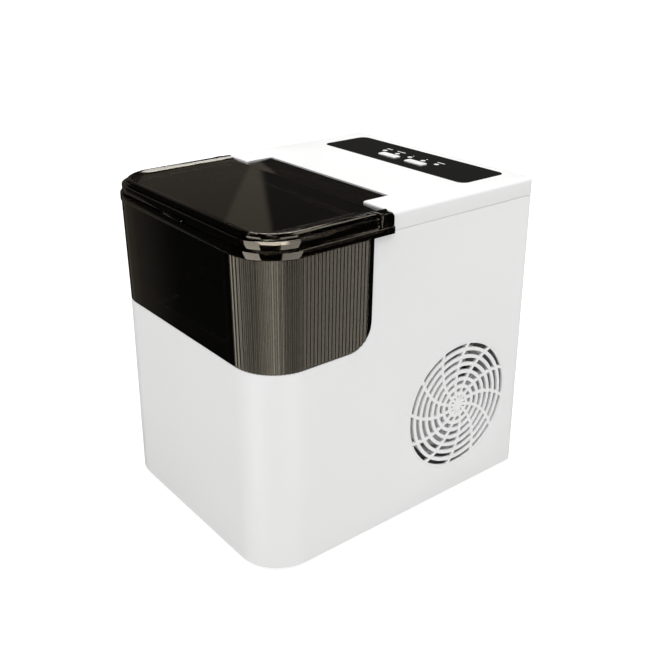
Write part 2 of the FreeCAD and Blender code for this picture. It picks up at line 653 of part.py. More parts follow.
def basket_handle():
    leg_x = BASKET_X - BASKET_WALL - ROD_R - 1.0
    bar_y = HANDLE_Y - HANDLE_REACH
    pieces = [rod((-leg_x, bar_y, HANDLE_Z), X_AXIS, 2.0 * leg_x, ROD_R),
              rod((-30.0, bar_y, HANDLE_Z), X_AXIS, 60.0, ROD_R + 1.2)]
    for side in (-1.0, 1.0):
        pieces.append(rod((side * leg_x, bar_y, HANDLE_Z), Y_AXIS, HANDLE_REACH, ROD_R))
        pieces.append(Part.makeSphere(ROD_R, vec(side * leg_x, bar_y, HANDLE_Z)))
        pieces.append(Part.makeSphere(ROD_R, vec(side * leg_x, HANDLE_Y, HANDLE_Z)))
        x0 = min(side * leg_x, side * (BASKET_X - 0.2))
        pieces.append(rod((x0, HANDLE_Y, HANDLE_Z), X_AXIS, BASKET_X - 0.2 - leg_x, ROD_R))
    return fuse_all(pieces)


# ---------------------------------------------------------------- ice making
def ice_chute():
    half = TANK_X - WALL - 1.2
    floor = arc_band(CHUTE_R, CHUTE_R + 2.0, 234.0, 298.0, TRAY_Y, TRAY_Z, -half, half)
    cuts = []
    for index in range(11):
        x = -85.0 + 17.0 * index
        cuts.append(box(x - 3.0, x + 3.0, -56.0, -24.0, TRAY_Z - CHUTE_R - 5.0, TRAY_Z - 25.0))
    return floor.cut(cuts)


def ice_shovel():
    blade = arc_band(SHOVEL_R0, SHOVEL_R1, SHOVEL_ANGLE - 2.0, SHOVEL_ANGLE + 2.0,
                     TRAY_Y, TRAY_Z, -83.5, 83.5)
    slots = []
    for index in range(10):
        x = -76.5 + 17.0 * index
        slots.append(arc_band(SHOVEL_R1 - 9.0, SHOVEL_R1 + 1.0, SHOVEL_ANGLE - 6.0, SHOVEL_ANGLE + 6.0,
                              TRAY_Y, TRAY_Z, x - 2.0, x + 2.0))
    blade = blade.cut(slots)
    arms = []
    for x0 in (-83.5, 81.0):
        arm = arc_band(AXLE_R + 1.0, SHOVEL_R0 + 2.0, SHOVEL_ANGLE - 9.0, SHOVEL_ANGLE + 9.0,
                       TRAY_Y, TRAY_Z, x0, x0 + 2.5)
        hub = rod((x0, TRAY_Y, TRAY_Z), X_AXIS, 2.5, AXLE_R + 4.0)
        arms += [arm, hub]
    shovel = blade.fuse(arms)
    bore = rod((-90.0, TRAY_Y, TRAY_Z), X_AXIS, 180.0, AXLE_R + AXLE_GAP)
    return shovel.cut(bore).removeSplitter()


def water_tray():
    trough = arc_band(TRAY_R, TRAY_R + TRAY_T, 180.0, 360.0, TRAY_Y, TRAY_Z, -TRAY_X, TRAY_X)
    pieces = [trough]
    for x0 in (-TRAY_X, TRAY_X - TRAY_T):
        disc = rod((x0, TRAY_Y, TRAY_Z), X_AXIS, TRAY_T, TRAY_R + TRAY_T)
        upper = box(x0, x0 + TRAY_T, TRAY_Y - 30.0, TRAY_Y + 30.0, TRAY_Z, TRAY_Z + 30.0)
        lobe = rod((x0, TRAY_Y, TRAY_Z), X_AXIS, TRAY_T, AXLE_R + 4.0)
        pieces += [disc.cut(upper), lobe]
    pieces.append(rod((-96.0, TRAY_Y, TRAY_Z), X_AXIS, 96.0 - TRAY_X + TRAY_T, AXLE_R))
    pieces.append(rod((TRAY_X - TRAY_T, TRAY_Y, TRAY_Z), X_AXIS, 96.0 - TRAY_X + TRAY_T, AXLE_R))
    return fuse_all(pieces)


def axle_block(x0, x1, half):
    block = box(x0, x1, TRAY_Y - half, TRAY_Y + half, TRAY_Z - half, TRAY_Z + half)
    return block.cut(rod((-97.0, TRAY_Y, TRAY_Z), X_AXIS, 194.0, AXLE_R + AXLE_GAP))


def tray_bearing():
    return axle_block(-TANK_X + WALL + 0.2, -87.0, 9.0)


def tray_motor():
    return axle_block(87.0, TANK_X - WALL - 0.2, 16.0)


def evaporator():
    bend = 9.0
    rear = TANK_Y1 + 14.0
    coil = tube([(-EVAP_X, rear, EVAP_Z), (-EVAP_X, TRAY_Y, EVAP_Z),
                 (EVAP_X, TRAY_Y, EVAP_Z), (EVAP_X, rear, EVAP_Z)], EVAP_TUBE_R, bend - EVAP_TUBE_R)
    pieces = [coil]
    for index in range(FINGERS):
        x = (index - (FINGERS - 1) / 2.0) * FINGER_PITCH
        tip = EVAP_Z - FINGER_DROP
        finger = rod((x, TRAY_Y, tip), Z_AXIS, FINGER_DROP, FINGER_R)
        lowest = [edge for edge in finger.Edges if edge.BoundBox.ZMax < tip + 0.1]
        pieces.append(finger.makeFillet(FINGER_R - 0.8, lowest))
    return fuse_all(pieces)


def ice_full_sensor():
    return box(-TANK_X + WALL + 0.2, -94.6, -62.0, -55.0, 196.0, 208.0)


def water_level_sensor():
    wall_y = TANK_Y1 - WALL - 0.2
    body = box(-50.0, -38.0, wall_y - 6.0, wall_y, 84.0, 104.0)
    probes = [rod((x, wall_y - 3.0, 66.0), Z_AXIS, 18.5, 1.2) for x in (-47.0, -41.0)]
    return fuse_all([body] + probes)


# ---------------------------------------------------------------- water circuit
PUMP_X = PUMP_PORT_X
PUMP_Y = 20.0
PUMP_Z0 = 44.0


def water_pump():
    body = rod((PUMP_X, PUMP_Y, PUMP_Z0), Z_AXIS, 42.0, 16.0)
    volute = rod((PUMP_X, PUMP_Y, PUMP_Z0 - 12.0), Z_AXIS, 12.0, 19.0)
    foot = box(PUMP_X - 22.0, PUMP_X + 22.0, PUMP_Y - 12.0, PUMP_Y + 12.0,
               PAN_Z + PAN_T, PUMP_Z0 - 12.0)
    return fuse_all([body, volute, foot])


def pump_inlet_hose():
    return tube([(PUMP_X, TANK_Y1 - WALL, PORT_Z), (PUMP_X, PUMP_Y - 16.2, PORT_Z)], 3.0, 1.0)


def water_feed_hose():
    outlet = PUMP_Z0 + 42.2
    return tube([(PUMP_X, PUMP_Y, outlet), (PUMP_X, PUMP_Y, FEED_Z), (PUMP_X, -27.0, FEED_Z)], 3.6, 12.0)


def drain_hose():
    return tube([(DRAIN_PORT_X, TANK_Y1 - WALL, PORT_Z), (DRAIN_PORT_X, 12.0, PORT_Z),
                 (-109.0, 26.0, DRAIN_Z), (-109.0, 110.0, DRAIN_Z),
                 (DRAIN_X, 127.0, DRAIN_Z), (DRAIN_X, 139.8, DRAIN_Z)],
                3.0, 8.0)


def drain_spout():
    barrel = rod((DRAIN_X, 140.0, DRAIN_Z), Y_AXIS, 9.0, 9.5)
    bore = rod((DRAIN_X, 141.0, DRAIN_Z), Y_AXIS, 8.0, 5.5)
    return barrel.cut(bore)


def drain_cap():
    plug = rod((DRAIN_X, 142.0, DRAIN_Z), Y_AXIS, 7.3, 5.2)
    head = rod((DRAIN_X, 149.3, DRAIN_Z), Y_AXIS, 2.6, 8.5)
    return plug.fuse(head).removeSplitter()


# ---------------------------------------------------------------- refrigeration
def compressor():
    top = 138.0
    shell = rod((COMPRESSOR_X, COMPRESSOR_Y, 26.0), Z_AXIS, top - 26.0, COMPRESSOR_R)
    ends = [e for e in shell.Edges if e.BoundBox.ZLength < 0.1]
    shell = shell.makeFillet(14.0, ends)
    plate = box(COMPRESSOR_X - 42.0, COMPRESSOR_X + 42.0, COMPRESSOR_Y - 42.0, COMPRESSOR_Y + 42.0,
                20.5, 23.5)
    neck = rod((COMPRESSOR_X, COMPRESSOR_Y, 23.5), Z_AXIS, 6.0, 30.0)
    solid = fuse_all([shell, plate, neck])
    holes = [rod((x, y, 20.0), Z_AXIS, 4.0, 5.2) for x, y in GROMMET_PLACES]
    return solid.cut(holes)


GROMMET_PLACES = [(COMPRESSOR_X + dx, COMPRESSOR_Y + dy) for dx in (-35.0, 35.0) for dy in (-35.0, 35.0)]


def compressor_grommets():
    grommets = []
    for x, y in GROMMET_PLACES:
        lower = rod((x, y, PAN_Z + PAN_T), Z_AXIS, 20.5 - PAN_Z - PAN_T, 7.5)
        waist = rod((x, y, 20.5), Z_AXIS, 3.0, 5.0)
        grommets.append(lower.fuse(waist).removeSplitter())
    return Part.makeCompound(grommets)


def compressor_relay_box():
    x0 = COMPRESSOR_X + COMPRESSOR_R + 0.5
    return box(x0, x0 + 20.0, COMPRESSOR_Y - 18.0, COMPRESSOR_Y + 18.0, 60.0, 105.0)


def condenser():
    z0 = FAN_Z - CONDENSER_HALF
    z1 = FAN_Z + CONDENSER_HALF
    y0 = FAN_Y - CONDENSER_HALF
    y1 = FAN_Y + CONDENSER_HALF
    pieces = [box(CONDENSER_X0, CONDENSER_X1, y0 - 1.5, y0, z0, z1),
              box(CONDENSER_X0, CONDENSER_X1, y1, y1 + 1.5, z0, z1)]
    for row in range(6):
        z = z0 + 9.0 + 18.0 * row
        pieces.append(rod((CONDENSER_X0 + 12.0, y0 - 4.0, z), Y_AXIS, y1 - y0 + 8.0, 3.5))
    for fin in range(14):
        y = y0 + 7.0 + 7.2 * fin
        pieces.append(box(CONDENSER_X0 + 1.0, CONDENSER_X1 - 1.0, y, y + 0.8, z0 + 2.0, z1 - 2.0))
    foot = box(CONDENSER_X0, CONDENSER_X1, y0 - 1.5, y1 + 1.5, PAN_Z + PAN_T, PAN_Z + PAN_T + 1.5)
    legs = [box(CONDENSER_X0, CONDENSER_X1, y, y + 1.5, PAN_Z + PAN_T, z0) for y in (y0 - 1.5, y1)]
    return fuse_all(pieces + [foot] + legs)


def fan_shroud():
    y0 = FAN_Y - CONDENSER_HALF - 1.5
    y1 = FAN_Y + CONDENSER_HALF + 1.5
    z1 = FAN_Z + CONDENSER_HALF
    plate = box(SHROUD_X, SHROUD_X + 2.0, y0, y1, PAN_Z + PAN_T, z1)
    ring = rod((SHROUD_X, FAN_Y, FAN_Z), X_AXIS, 24.0, ROTOR_R + 4.5)
    hole = rod((SHROUD_X, FAN_Y, FAN_Z), X_AXIS, 24.0, ROTOR_R + 2.5)
    hood = plate.fuse(ring).cut(hole)
    arms = []
    for index in range(4):
        arm = box(SHROUD_X, SHROUD_X + 2.0, FAN_Y + 16.0, FAN_Y + ROTOR_R + 3.5, FAN_Z - 3.0, FAN_Z + 3.0)
        arm.rotate(vec(0, FAN_Y, FAN_Z), X_AXIS, 45.0 + 90.0 * index)
        arms.append(arm)
    seat = pipe((SHROUD_X, FAN_Y, FAN_Z), X_AXIS, 2.0, 18.0, 14.2)
    return hood.fuse(arms + [seat]).removeSplitter()


def fan_motor():
    body = rod((SHROUD_X - 1.5, FAN_Y, FAN_Z), X_AXIS, 8.5, 14.0)
    return body.cut(rod((SHROUD_X + 1.0, FAN_Y, FAN_Z), X_AXIS, 6.0, 1.55))


def fan_shaft():
    return rod((SHROUD_X + 2.0, FAN_Y, FAN_Z), X_AXIS, 16.8, 1.5)


def fan_rotor():
    hub = rod((ROTOR_X0, FAN_Y, FAN_Z), X_AXIS, ROTOR_X1 - ROTOR_X0, HUB_R)
    hub = hub.makeFillet(2.0, [e for e in hub.Edges if e.BoundBox.XMin > ROTOR_X1 - 0.1])
    blades = []
    for index in range(BLADES):
        blade = box(98.0, 100.0, FAN_Y + HUB_R - 2.0, FAN_Y + ROTOR_R, FAN_Z - 15.0, FAN_Z + 15.0)
        blade.rotate(vec(99.0, FAN_Y, FAN_Z), Y_AXIS, 24.0)
        sweep = rod((ROTOR_X0, FAN_Y, FAN_Z), X_AXIS, ROTOR_X1 - ROTOR_X0, ROTOR_R)
        blade = blade.common(sweep)
        blade.rotate(vec(0, FAN_Y, FAN_Z), X_AXIS, 360.0 / BLADES * index)
        blades.append(blade)
    rotor = hub.fuse(blades)
    bore = rod((ROTOR_X0 - 1.0, FAN_Y, FAN_Z), X_AXIS, 12.0, 1.5)
    return rotor.cut(bore).removeSplitter()


def filter_drier():
    return fuse_all([rod((38.0, 106.0, 170.0), Z_AXIS, 50.0, 8.0),
                     Part.makeCone(2.0, 8.0, 8.0, vec(38.0, 106.0, 162.0)),
                     Part.makeCone(8.0, 2.0, 8.0, vec(38.0, 106.0, 220.0))])


def discharge_line():
    top = FAN_Z + CONDENSER_HALF - 9.0
    return tube([(-30.0, 74.0, 138.2), (-30.0, 74.0, 168.0), (30.0, 30.0, 168.0), (50.0, 4.0, 162.0),
                 (68.0, 4.0, 162.0), (68.0, 4.0, top + 4.0)], 2.5, 5.0)


def liquid_line():
    bottom = FAN_Z - CONDENSER_HALF + 9.0
    y_out = FAN_Y + CONDENSER_HALF + 4.2
    return tube([(68.0, y_out, bottom), (68.0, y_out + 12.0, bottom), (48.0, y_out + 12.0, bottom + 40.0),
                 (38.0, 106.0, 140.0), (38.0, 106.0, 161.8)], 2.0, 5.0)


def capillary_line():
    return tube([(38.0, 106.0, 228.2), (38.0, 106.0, 252.0), (-30.0, 60.0, 252.0),
                 (-EVAP_X, 30.0, EVAP_Z), (-EVAP_X, TANK_Y1 + 14.2, EVAP_Z)], 1.3, 8.0)


def suction_line():
    return tube([(EVAP_X, TANK_Y1 + 14.2, EVAP_Z), (EVAP_X, 24.0, EVAP_Z), (0.0, 40.0, 214.0),
                 (-66.0, 74.0, 180.0), (-66.0, 74.0, 138.2)], 3.2, 9.0)


def hot_gas_valve():
    coil = rod((2.0, 44.0, 178.0), Z_AXIS, 24.0, 11.0)
    core = rod((2.0, 44.0, 172.0), Z_AXIS, 6.0, 5.0)
    return coil.fuse(core)


def wiring_harness():
    side = INLET_X - 14.2
    return tube([(-70.0, 108.0, 271.0), (-70.0, 136.0, 245.0), (-104.0, 136.0, 205.0),
                 (-104.0, 136.0, INLET_Z), (side, 136.0, INLET_Z)], 2.5, 10.0)


def power_inlet():
    y0 = 128.0
    face = HALF_D + REAR_T
    body = box(INLET_X - 14.0, INLET_X + 14.0, y0, face, INLET_Z - 11.0, INLET_Z + 11.0)
    socket = box(INLET_X - 12.0, INLET_X + 12.0, face - 16.0, face, INLET_Z - 8.5, INLET_Z + 8.5)
    return body.cut(socket)


def power_inlet_pins():
    root_y = HALF_D + REAR_T - 16.0
    pins = []
    for dx, dz in ((-7.0, -2.2), (7.0, -2.2), (0.0, 1.8)):
        pins.append(box(INLET_X + dx - 1.0, INLET_X + dx + 1.0, root_y, root_y + 11.0,
                        INLET_Z + dz, INLET_Z + dz + 4.0))
    return Part.makeCompound(pins)


# ---------------------------------------------------------------- output
NODES = {
    "base_pan": base_pan,
    "base_screws": base_screws,
    "rubber_feet": rubber_feet,
    "outer_casing": outer_casing,
    "fan_grille": fan_grille,
    "rear_cover": rear_cover,
    "rear_cover_screws": rear_cover_screws,
    "top_cover": top_cover,
    "hinge_pins": hinge_pins,
    "control_panel": control_panel,
    "button_power": lambda: push_button(BUTTON_POWER_X),
    "button_select": lambda: push_button(BUTTON_SELECT_X),
    "indicator_lights": indicator_lights,
    "control_board": control_board,
    "board_screws": board_screws,
    "front_window": front_window,
    "lid_frame": lid_frame,
    "lid_panel": lid_panel,
    "inner_tank": inner_tank,
    "insulation": insulation,
    "ice_basket": ice_basket,
    "basket_handle": basket_handle,
    "ice_chute": ice_chute,
    "ice_shovel": ice_shovel,
    "water_tray": water_tray,
    "tray_bearing": tray_bearing,
    "tray_motor": tray_motor,
    "evaporator": evaporator,
    "ice_full_sensor": ice_full_sensor,
    "water_level_sensor": water_level_sensor,
    "water_pump": water_pump,
    "pump_inlet_hose": pump_inlet_hose,
    "water_feed_hose": water_feed_hose,
    "drain_hose": drain_hose,
    "drain_spout": drain_spout,
    "drain_cap": drain_cap,
    "compressor": compressor,
    "compressor_grommets": compressor_grommets,
    "compressor_relay_box": compressor_relay_box,
    "condenser": condenser,
    "fan_shroud": fan_shroud,
    "fan_motor": fan_motor,
    "fan_shaft": fan_shaft,
    "fan_rotor": fan_rotor,
    "filter_drier": filter_drier,
    "discharge_line": discharge_line,
    "liquid_line": liquid_line,
    "capillary_line": capillary_line,
    "suction_line": suction_line,
    "hot_gas_valve": hot_gas_valve,
    "wiring_harness": wiring_harness,
    "power_inlet": power_inlet,
    "power_inlet_pins": power_inlet_pins,
}


def main():
    os.makedirs("parts", exist_ok=True)
    for name, make in NODES.items():
        shape = make()
        solids = shape.Solids
        if not shape.isValid() or not solids:
            raise ValueError(name + " is not a valid solid")
        print(name, len(solids), "solids", round(shape.Volume), "mm3")
        shape.exportStep("parts/" + name + ".step")


main()
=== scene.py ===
import bmesh
import bpy
import json
import math
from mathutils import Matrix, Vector


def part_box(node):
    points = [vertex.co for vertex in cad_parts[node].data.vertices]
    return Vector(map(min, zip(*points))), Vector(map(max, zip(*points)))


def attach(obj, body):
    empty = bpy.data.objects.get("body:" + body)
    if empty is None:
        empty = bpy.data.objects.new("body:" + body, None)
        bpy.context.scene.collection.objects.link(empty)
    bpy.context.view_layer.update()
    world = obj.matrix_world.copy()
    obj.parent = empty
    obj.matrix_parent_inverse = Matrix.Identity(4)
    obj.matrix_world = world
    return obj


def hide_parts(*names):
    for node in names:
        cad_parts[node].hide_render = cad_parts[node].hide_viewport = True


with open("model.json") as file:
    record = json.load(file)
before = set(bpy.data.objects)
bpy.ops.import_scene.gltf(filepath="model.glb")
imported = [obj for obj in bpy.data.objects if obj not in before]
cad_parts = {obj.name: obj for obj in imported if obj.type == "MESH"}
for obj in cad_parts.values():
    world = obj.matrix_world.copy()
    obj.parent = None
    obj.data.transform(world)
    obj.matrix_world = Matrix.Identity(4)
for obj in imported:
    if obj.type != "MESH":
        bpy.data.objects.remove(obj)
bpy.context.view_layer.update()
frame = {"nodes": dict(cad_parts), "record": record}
SCENE = bpy.context.scene
COLLECTION = SCENE.collection
MM = 0.001


# ---------------------------------------------------------------- places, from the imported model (mm)
def low(node):
    return [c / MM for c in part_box(node)[0]]


def high(node):
    return [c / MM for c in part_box(node)[1]]


HALF_W = high("outer_casing")[0]
HALF_D = -low("outer_casing")[1]
FOOT_H = low("outer_casing")[2]
SEAM_Z = high("outer_casing")[2]
TOP_Z = high("top_cover")[2]
POCKET_FLOOR = 278.0
COVER_FRONT = low("top_cover")[1]
COVER_FRONT_ROUND = 1.5
WINDOW_Z = low("front_window")[2]
RIM_X = high("front_window")[0]
RIM_Y = low("front_window")[1]
RIM_Z1 = high("front_window")[2]
RIM_BACK = high("front_window")[1]
LID_Z = high("lid_frame")[2]
PANEL_LOW = low("control_panel")
PANEL_HIGH = high("control_panel")
GRILLE_LOW = low("fan_grille")
GRILLE_HIGH = high("fan_grille")
FAN_Y = (GRILLE_LOW[1] + GRILLE_HIGH[1]) / 2
FAN_Z = (GRILLE_LOW[2] + GRILLE_HIGH[2]) / 2
GRILLE_R = (GRILLE_HIGH[1] - GRILLE_LOW[1]) / 2

R_FRONT = 39.0
R_REAR = 6.0
WALL = 2.5
WINDOW_BACK = -42.5
WINDOW_CORNER = 23.0
WINDOW_FLARE = 1.8
RIM_Z0 = 279.0
RIM_OUT = 3.0
RIM_IN = -9.0
LID_Z0 = 285.8
HINGE_Y = -5.0
HINGE_Z = 291.5
PIN_R = 1.5
POCKET_X = 84.5             # recess in the cover for the lid's hinge tongue
POCKET_BACK = 6.2
KNUCKLE_X = 99.5
BUTTON_XS = (-19.0, 17.8)
BUTTON_Y = 100.5
LIGHT_X0 = -37.3
LIGHT_PITCH = 18.05
LIGHT_Y = 111.6
REAR_GAP_X = 96.0           # opening in the casing behind the rear cover
SIDE_SLOTS = 12             # exhaust slots in the left side
SIDE_SLOT_PITCH = 8.0
SIDE_SLOT_Y0 = 24.0


# ---------------------------------------------------------------- mesh helpers
def mesh_object(name, verts, faces, mats=()):
    mesh = bpy.data.meshes.new(name)
    mesh.from_pydata([(x * MM, y * MM, z * MM) for x, y, z in verts], [], faces)
    mesh.update()
    obj = bpy.data.objects.new(name, mesh)
    COLLECTION.objects.link(obj)
    for mat in mats:
        mesh.materials.append(mat)
    return obj


def outline(hx, y0, y1, rf, rb, z, n=18):
    points = []
    corners = ((hx - rf, y0 + rf, rf, -90), (hx - rb, y1 - rb, rb, 0),
               (-hx + rb, y1 - rb, rb, 90), (-hx + rf, y0 + rf, rf, 180))
    for cx, cy, r, start in corners:
        for i in range(n + 1):
            a = math.radians(start + 90 * i / n)
            points.append((cx + r * math.cos(a), cy + r * math.sin(a), z))
    return points


def loft(name, rings, closed=False):
    n = len(rings[0])
    verts = [p for ring in rings for p in ring]
    faces = []
    pairs = len(rings) if closed else len(rings) - 1
    for k in range(pairs):
        a, b = k * n, (k + 1) % len(rings) * n
        for i in range(n):
            j = (i + 1) % n
            faces.append((a + i, a + j, b + j, b + i))
    if not closed:
        faces.append(tuple(range(n - 1, -1, -1)))
        last = (len(rings) - 1) * n
        faces.append(tuple(range(last, last + n)))
    return mesh_object(name, verts, faces)


def box(name, x0, x1, y0, y1, z0, z1):
    verts = [(x, y, z) for z in (z0, z1) for x, y in ((x0, y0), (x1, y0), (x1, y1), (x0, y1))]
    faces = [(3, 2, 1, 0), (4, 5, 6, 7)]
    faces += [(i, (i + 1) % 4, 4 + (i + 1) % 4, 4 + i) for i in range(4)]
    return mesh_object(name, verts, faces)


def prism(name, profile, axis, start, end):
    """Closed profile of 2-D points pulled along an axis."""
    place = {"x": lambda u, v, w: (w, u, v),
             "y": lambda u, v, w: (u, w, v),
             "z": lambda u, v, w: (u, v, w)}[axis]
    rings = [[place(u, v, w) for u, v in profile] for w in (start, end)]
    obj = loft(name, rings)
    fix_normals(obj)
    return obj


def fix_normals(obj):
    bm = bmesh.new()
    bm.from_mesh(obj.data)
    bmesh.ops.recalc_face_normals(bm, faces=bm.faces)
    bm.to_mesh(obj.data)
    bm.free()


def apply_modifiers(obj):
    bpy.context.view_layer.update()
    graph = bpy.context.evaluated_depsgraph_get()
    mesh = bpy.data.meshes.new_from_object(obj.evaluated_get(graph))
    obj.modifiers.clear()
    old = obj.data
    obj.data = mesh
    bpy.data.meshes.remove(old)
    return obj


def combine(obj, others, operation):
    for other in others:
        fix_normals(other)
    fix_normals(obj)
    for other in others:
        modifier = obj.modifiers.new("b", "BOOLEAN")
        modifier.operation = operation
        modifier.solver = "EXACT"
        modifier.object = other
    apply_modifiers(obj)
    for other in others:
        bpy.data.objects.remove(other)
    return obj


def cut(obj, *others):
    return combine(obj, others, "DIFFERENCE")


def add(obj, *others):
    return combine(obj, others, "UNION")


def bevel(obj, width, segments=2, angle=40):
    modifier = obj.modifiers.new("r", "BEVEL")
    modifier.width = width * MM
    modifier.segments = segments
    modifier.limit_method = "ANGLE"
    modifier.angle_limit = math.radians(angle)
    modifier.use_clamp_overlap = True
    return apply_modifiers(obj)


def smooth(obj, angle=32):
    obj.data.shade_smooth()
    obj.data.set_sharp_from_angle(angle=math.radians(angle))
    return obj


def piece(obj, body, mats, nodes=()):
    zones = [face.material_index for face in obj.data.polygons]
    obj.data.materials.clear()
    for mat in mats:
        obj.data.materials.append(mat)
    if len(mats) > 1:
        obj.data.polygons.foreach_set("material_index", zones)
    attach(obj, body)
    if nodes:
        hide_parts(*nodes)
    return obj


def body_ring(inset, z, n=18):
    return outline(HALF_W - inset, -HALF_D + inset, HALF_D - inset, R_FRONT - inset,
                   max(R_REAR - inset, 1.0), z, n)


def arc(cx, cy, r, a0, a1, n):
    return [(cx + r * math.cos(math.radians(a0 + (a1 - a0) * i / n)),
             cy + r * math.sin(math.radians(a0 + (a1 - a0) * i / n))) for i in range(n + 1)]


def disc(r, n=48):
    return [(r * math.cos(2 * math.pi * i / n), r * math.sin(2 * math.pi * i / n)) for i in range(n)]


# ---------------------------------------------------------------- materials
def new_material(name):
    mat = bpy.data.materials.new(name)
    mat.use_nodes = True
    nodes = mat.node_tree.nodes
    return mat, nodes, mat.node_tree.links, nodes["Principled BSDF"]


def noise(nodes, links, coord, scale, detail=3.0):
    node = nodes.new("ShaderNodeTexNoise")
    node.inputs["Scale"].default_value = scale
    node.inputs["Detail"].default_value = detail
    links.new(coord.outputs["Object"], node.inputs["Vector"])
    return node


def ramp(nodes, links, source, low_value, high_value):
    node = nodes.new("ShaderNodeMapRange")
    node.inputs["To Min"].default_value = low_value
    node.inputs["To Max"].default_value = high_value
    node.inputs["From Min"].default_value = 0.3
    node.inputs["From Max"].default_value = 0.7
    links.new(source, node.inputs["Value"])
    return node


def mixed(nodes, links, factor, a, b):
    node = nodes.new("ShaderNodeMix")
    node.data_type = "RGBA"
    node.inputs["A"].default_value = (*a, 1)
    node.inputs["B"].default_value = (*b, 1)
    links.new(factor, node.inputs["Factor"])
    return node


def moulded(name, colour, rough, spread=0.03, grain=900.0, bump=0.02, metallic=0.0, coat=0.0,
            patch=14.0, transmission=0.0, ior=1.46, specular=0.5,
            gloss_tint=(1.0, 1.0, 1.0)):
    mat, nodes, links, shader = new_material(name)
    coord = nodes.new("ShaderNodeTexCoord")
    broad = noise(nodes, links, coord, patch, 4.0)
    fine = noise(nodes, links, coord, grain, 2.0)
    dark = tuple(c * (1 - spread) for c in colour)
    light = tuple(min(1.0, c * (1 + spread)) for c in colour)
    tint = mixed(nodes, links, broad.outputs["Fac"], dark, light)
    links.new(tint.outputs["Result"], shader.inputs["Base Color"])
    gloss = ramp(nodes, links, broad.outputs["Fac"], max(0.0, rough * 0.85), rough * 1.15)
    links.new(gloss.outputs["Result"], shader.inputs["Roughness"])
    relief = nodes.new("ShaderNodeBump")
    relief.inputs["Strength"].default_value = bump
    relief.inputs["Distance"].default_value = 0.0002
    links.new(fine.outputs["Fac"], relief.inputs["Height"])
    links.new(relief.outputs["Normal"], shader.inputs["Normal"])
    shader.inputs["Metallic"].default_value = metallic
    shader.inputs["Coat Weight"].default_value = coat
    shader.inputs["Transmission Weight"].default_value = transmission
    shader.inputs["IOR"].default_value = ior
    shader.inputs["Specular IOR Level"].default_value = specular
    shader.inputs["Specular Tint"].default_value = (*gloss_tint, 1)
    return mat


WHITE = moulded("white_abs", (0.83, 0.83, 0.825), 0.34, 0.006, 1400, 0.03, specular=0.12)
WHITE_GRILLE = moulded("white_grille", (0.83, 0.83, 0.825), 0.36, 0.006, 1400, 0.03, specular=0.12)
WARM_GLOSS = (1.0, 0.90, 0.74)
SMOKE = moulded("smoked_plastic", (0.085, 0.074, 0.058), 0.035, 0.05, 300, 0.004, transmission=1.0, ior=1.49,
                gloss_tint=WARM_GLOSS)
SMOKE_LID = moulded("smoked_lid_plastic", (0.085, 0.074, 0.058), 0.015, 0.05, 300, 0.0, transmission=1.0,
                    ior=1.49, gloss_tint=WARM_GLOSS)
# Ribbed faces of the window: the same smoked plastic, but with a dark brown diffuse share. The ribs and the
# tint are real; the brightness of that diffuse share is painted light, standing in for light refracted
# through the ribs.
SMOKE_RIB_PAINTED_LIGHT = moulded("smoked_ribs_painted_light", (0.03, 0.0265, 0.019), 0.2, 0.06, 500, 0.0, transmission=0.3,
                    ior=1.49, specular=0.4, gloss_tint=WARM_GLOSS)
BLACK_GLOSS = moulded("black_overlay", (0.009, 0.009, 0.009), 0.07, 0.1, 1200, 0.01, specular=0.3)
BUTTON = moulded("button_plastic", (0.80, 0.80, 0.79), 0.38, 0.01, 1400, 0.02)
LAMP = moulded("light_lens", (0.85, 0.86, 0.86), 0.25, 0.02, 900, 0.01)
PRINT = moulded("panel_print", (0.75, 0.75, 0.74), 0.5, 0.05, 1500, 0.02)
GREY = moulded("base_plastic", (0.33, 0.34, 0.35), 0.45, 0.04, 1000, 0.06)
TANK = moulded("tank_plastic", (0.045, 0.045, 0.045), 0.35, 0.05, 900, 0.03)
BASKET = moulded("basket_plastic", (0.07, 0.07, 0.07), 0.3, 0.05, 900, 0.04)
FAN_GREY = moulded("fan_plastic", (0.74, 0.74, 0.74), 0.5, 0.04, 900, 0.05)
HANDLE = moulded("handle_plastic", (0.42, 0.43, 0.44), 0.4, 0.03, 900, 0.04)
FOAM = moulded("foam", (0.85, 0.82, 0.70), 0.85, 0.08, 260, 0.5)
BLACK = moulded("black_plastic", (0.025, 0.025, 0.026), 0.42, 0.1, 1000, 0.08)
ENAMEL = moulded("black_enamel", (0.012, 0.012, 0.013), 0.2, 0.12, 160, 0.05, coat=0.5)
RUBBER = moulded("rubber", (0.02, 0.02, 0.02), 0.7, 0.15, 800, 0.25)
STEEL = moulded("zinc_steel", (0.62, 0.62, 0.60), 0.32, 0.06, 700, 0.05, metallic=1.0)
PLATED = moulded("plated_copper", (0.72, 0.71, 0.68), 0.2, 0.05, 400, 0.03, metallic=1.0)
COPPER = moulded("copper", (0.78, 0.42, 0.27), 0.25, 0.1, 300, 0.04, metallic=1.0)
FINS = moulded("aluminium_fins", (0.78, 0.78, 0.79), 0.35, 0.06, 900, 0.1, metallic=1.0)
HOSE = moulded("silicone_hose", (0.70, 0.71, 0.70), 0.45, 0.03, 500, 0.03, transmission=0.4)
WIRE = moulded("wire_sheath", (0.06, 0.06, 0.065), 0.5, 0.12, 700, 0.1)
BOARD = moulded("circuit_board", (0.03, 0.16, 0.07), 0.4, 0.12, 500, 0.08)

SLOT_MATERIALS = {
    "white_shell": WHITE, "smoked_window": SMOKE, "smoked_lid": SMOKE_LID, "black_panel": BLACK_GLOSS,
    "button_white": BUTTON, "light_white": LAMP, "circuit": BOARD, "steel": STEEL,
    "plated_copper": PLATED, "black_rubber": RUBBER, "base_grey": GREY, "tank_plastic": TANK,
    "foam": FOAM, "basket_plastic": BASKET, "handle_grey": HANDLE, "black_plastic": BLACK,
    "fan_grey": FAN_GREY,
    "black_enamel": ENAMEL, "fin_aluminium": FINS, "copper_tube": COPPER, "hose": HOSE, "wire": WIRE,
}


